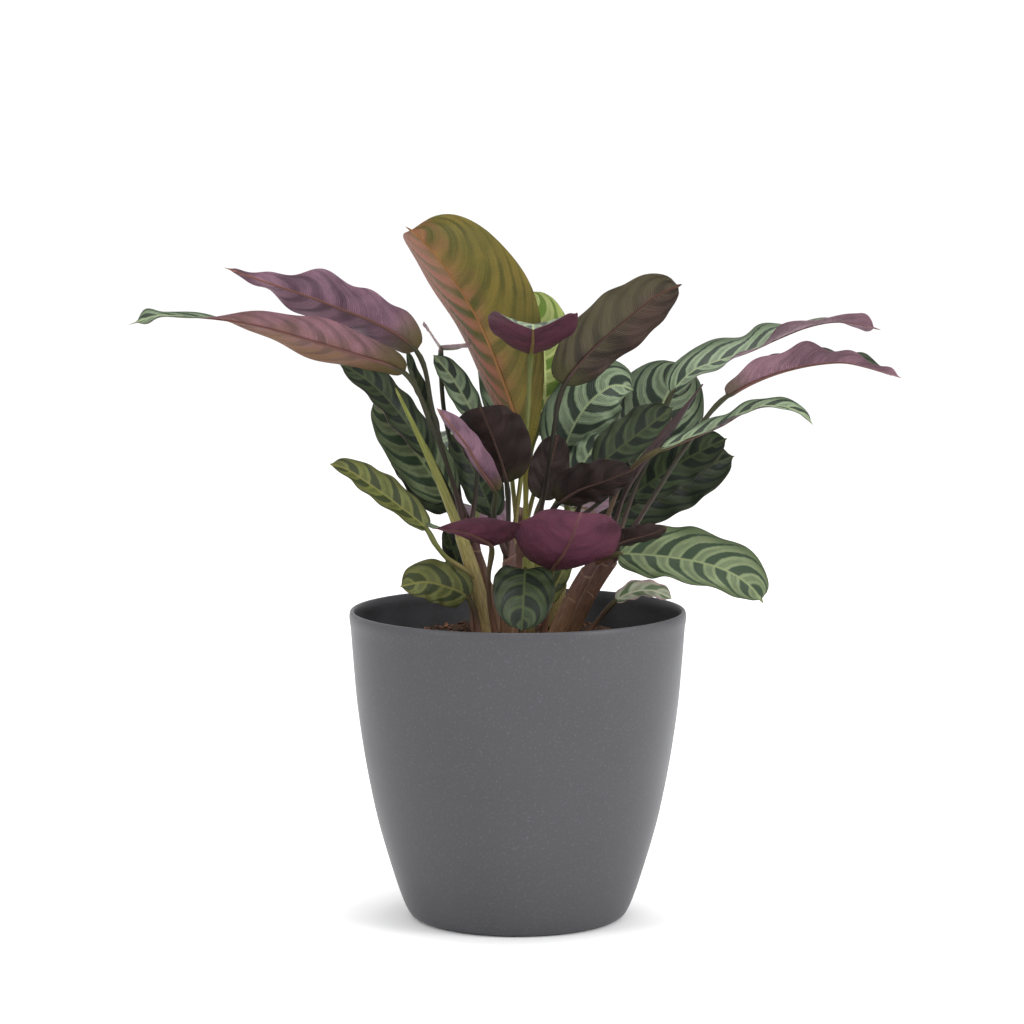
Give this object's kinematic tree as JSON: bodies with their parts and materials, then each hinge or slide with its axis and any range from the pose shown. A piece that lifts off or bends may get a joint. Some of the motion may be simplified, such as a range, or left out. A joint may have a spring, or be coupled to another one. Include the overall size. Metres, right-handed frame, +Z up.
{
  "type": "potted ctenanthe",
  "caption": "Leafy house plant with long-stalked striped leaves, purple underneath, in soil in a thin grower pot that stands loose in a round tapered cover pot.",
  "frame": {"origin": "centre of the underside of the cover pot, on the surface it stands on", "axes": "+Z up along the pot's axis; -Y towards the plant's front, +X to the right as seen from the front"},
  "size_m": [0.411, 0.2335, 0.3878],
  "materials": {
    "cover_pot": "satin",
    "grower_pot": "matte",
    "soil": "matte",
    "leaf_striped": "satin",
    "leaf_burgundy": "satin",
    "leaf_dark_purple": "satin",
    "leaf_olive": "satin",
    "leaf_lime": "satin",
    "shoot_green": "satin",
    "shoot_brown": "satin"
  },
  "bodies": {
    "root": {"cover_pot": "cover_pot", "grower_pot": "grower_pot", "soil": "soil", "shoot_left": "shoot_green", "shoot_left_inner": "shoot_brown", "shoot_centre": "shoot_brown", "shoot_centre_right": "shoot_green", "shoot_right_front": "shoot_brown", "shoot_right": "shoot_brown", "shoot_back_right": "shoot_green", "shoot_back_left": "shoot_green", "shoot_back": "shoot_brown", "shoot_far_back": "shoot_green", "shoot_far_back_left": "shoot_brown", "rolled_leaf": "leaf_dark_purple", "leaf_far_left": "leaf_burgundy", "leaf_upper_left": "leaf_burgundy", "leaf_tall": "leaf_olive", "leaf_lime": "leaf_lime", "leaf_small_curled": "leaf_burgundy", "leaf_right_dark": "leaf_dark_purple", "leaf_right_arching": "leaf_striped", "leaf_right_back": "leaf_striped", "leaf_far_right": "leaf_dark_purple", "leaf_right_low": "leaf_striped", "leaf_mid_right": "leaf_striped", "leaf_mid_right_back": "leaf_striped", "leaf_mid_small": "leaf_striped", "leaf_right_inner": "leaf_striped", "leaf_right_olive": "leaf_olive", "leaf_right_hooked": "leaf_olive", "leaf_lower_right": "leaf_striped", "leaf_front_purple": "leaf_burgundy", "leaf_front_left_purple": "leaf_burgundy", "leaf_front_small_dark": "leaf_dark_purple", "leaf_front_round": "leaf_striped", "leaf_lower_left": "leaf_olive", "leaf_left_folded": "leaf_olive", "leaf_left_striped": "leaf_striped", "leaf_left_pink_edge": "leaf_striped", "leaf_left_dark": "leaf_dark_purple", "leaf_centre_dark": "leaf_dark_purple", "leaf_centre_pink": "leaf_burgundy", "leaf_left_small": "leaf_striped", "leaf_tiny_pink": "leaf_burgundy", "leaf_inner_dark_green": "leaf_striped", "leaf_centre_right_purple": "leaf_dark_purple", "leaf_rim_right": "leaf_lime", "leaf_left_inner": "leaf_olive", "leaf_centre_olive": "leaf_olive", "leaf_centre_brown": "leaf_olive", "leaf_left_edge_on": "leaf_dark_purple", "leaf_back_centre": "leaf_striped", "leaf_back_right": "leaf_striped", "leaf_back_left": "leaf_striped", "leaf_back_low_left": "leaf_olive", "leaf_back_low_right": "leaf_striped", "leaf_back_upright": "leaf_burgundy"}
  },
  "joints": []
}
